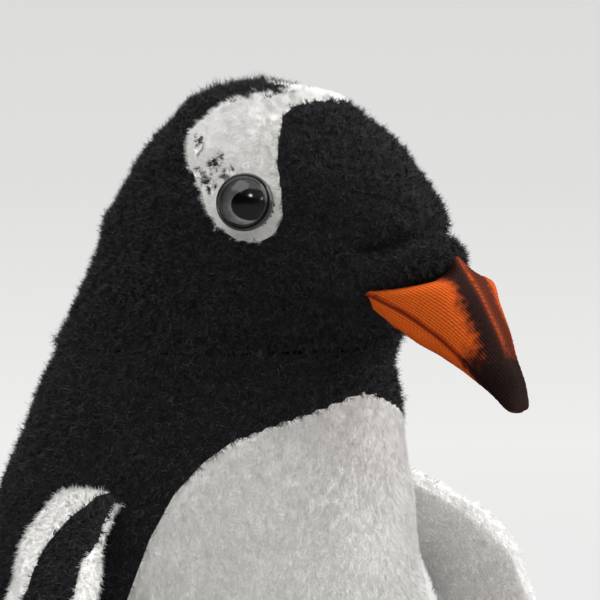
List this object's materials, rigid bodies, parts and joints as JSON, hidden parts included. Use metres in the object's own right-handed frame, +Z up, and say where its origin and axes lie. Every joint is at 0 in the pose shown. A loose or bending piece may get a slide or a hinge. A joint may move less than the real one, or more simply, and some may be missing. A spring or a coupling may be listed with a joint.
{
  "type": "plush penguin",
  "caption": "Standing plush penguin of sewn cloth panels over filling, with hinged flippers, feet and tail, a turning and nodding head, safety eyes and a knitted beak.",
  "frame": {"origin": "centre of the flat base that the toy stands on", "axes": "+Z up towards the crown, -Y the way the toy faces, +X towards the toy's left flipper"},
  "size_m": [0.2016, 0.185, 0.3],
  "materials": {
    "black_plush": "short matted pile",
    "white_plush": "short brushed pile",
    "fibre_filling": "loose fibre",
    "pellets": "pellets in a cloth bag",
    "thread": "twisted thread",
    "beak_knit": "ribbed stretch knit, airbrushed",
    "foot_cloth": "short velour",
    "eye_dome": "clear gloss over a painted back",
    "washer": "moulded"
  },
  "bodies": {
    "torso": {"belly_panel": "white_plush", "right_side_panel": "black_plush", "left_side_panel": "black_plush", "base_panel": "black_plush", "body_stuffing": "fibre_filling", "pellet_pouch": "pellets", "closing_seam": "thread", "right_shoulder_tab": "black_plush", "left_shoulder_tab": "black_plush"},
    "neck": {"neck_stuffing": "fibre_filling", "neck_cloth": "black_plush"},
    "head": {"right_head_panel": "black_plush", "left_head_panel": "black_plush", "crown_panel": "black_plush", "bonnet_panel": "white_plush", "forehead_panel": "black_plush", "muzzle_panel": "black_plush", "chin_panel": "black_plush", "head_stuffing": "fibre_filling", "beak_upper": "beak_knit", "beak_lower": "beak_knit", "beak_stuffing": "fibre_filling", "right_eye": "eye_dome", "left_eye": "eye_dome", "right_eye_washer": "washer", "left_eye_washer": "washer"},
    "right_flipper": {"right_flipper_outer": "black_plush", "right_flipper_band": "white_plush", "right_flipper_lining": "white_plush", "right_flipper_pad": "fibre_filling"},
    "left_flipper": {"left_flipper_outer": "black_plush", "left_flipper_band": "white_plush", "left_flipper_lining": "white_plush", "left_flipper_pad": "fibre_filling"},
    "right_foot": {"right_foot_upper": "foot_cloth", "right_foot_sole": "foot_cloth", "right_foot_stuffing": "fibre_filling"},
    "left_foot": {"left_foot_upper": "foot_cloth", "left_foot_sole": "foot_cloth", "left_foot_stuffing": "fibre_filling"},
    "tail": {"tail_upper": "black_plush", "tail_lining": "black_plush", "tail_stuffing": "fibre_filling"}
  },
  "joints": [
    {"name": "neck_nod", "type": "hinge", "parent": "torso", "child": "neck", "pos_m": [0, -0.005, 0.2392], "axis": [-1, 0, 0], "range_deg": [-12, 12], "stiffness_Nm_per_rad": 0.25},
    {"name": "head_turn", "type": "hinge", "parent": "neck", "child": "head", "pos_m": [0, -0.0065, 0.2456], "axis": [0, 0, 1], "range_deg": [-30, 30], "stiffness_Nm_per_rad": 0.15},
    {"name": "right_shoulder", "type": "hinge", "parent": "torso", "child": "right_flipper", "pos_m": [-0.0481, -0.00425, 0.2129], "axis": [-0.1232, 0.9923, -0.0137], "range_deg": [-20, 45], "stiffness_Nm_per_rad": 0.04},
    {"name": "left_shoulder", "type": "hinge", "parent": "torso", "child": "left_flipper", "pos_m": [0.0481, -0.00425, 0.2129], "axis": [-0.1232, -0.9923, 0.0137], "range_deg": [-20, 45], "stiffness_Nm_per_rad": 0.04},
    {"name": "right_ankle", "type": "hinge", "parent": "torso", "child": "right_foot", "pos_m": [-0.025, -0.0515, 0.006], "axis": [-1, 0, 0], "range_deg": [0, 25], "stiffness_Nm_per_rad": 0.03},
    {"name": "left_ankle", "type": "hinge", "parent": "torso", "child": "left_foot", "pos_m": [0.025, -0.0515, 0.006], "axis": [-1, 0, 0], "range_deg": [0, 25], "stiffness_Nm_per_rad": 0.03},
    {"name": "tail_hinge", "type": "hinge", "parent": "torso", "child": "tail", "pos_m": [0, 0.0594, 0.0215], "axis": [1, 0, 0], "range_deg": [-6, 25], "stiffness_Nm_per_rad": 0.03}
  ]
}
